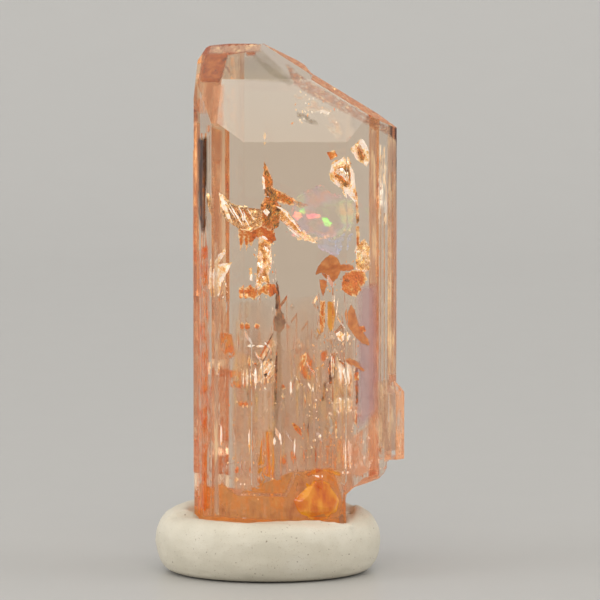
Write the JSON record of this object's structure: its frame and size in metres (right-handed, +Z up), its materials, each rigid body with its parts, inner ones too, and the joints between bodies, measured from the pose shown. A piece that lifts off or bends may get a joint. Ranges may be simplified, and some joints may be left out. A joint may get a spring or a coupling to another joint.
{
  "type": "topaz crystal on mounting putty",
  "caption": "Upright single crystal of see-through peach topaz, a striated prism with a lopsided wedge top, standing in a pressed disc of off-white putty.",
  "frame": {"origin": "middle of the footprint of the whole object, on the surface that the putty rests on", "axes": "+Z up along the crystal's length, -Y towards the viewer of the broad front face, +X to the viewer's right"},
  "size_m": [0.0114, 0.0092, 0.0243],
  "materials": {
    "topaz": "glassy, clear at the top, striated and stained orange towards the foot",
    "putty": "satin, with fine dark specks"
  },
  "bodies": {
    "root": {"topaz_crystal": "topaz", "putty_base": "putty"}
  },
  "joints": []
}
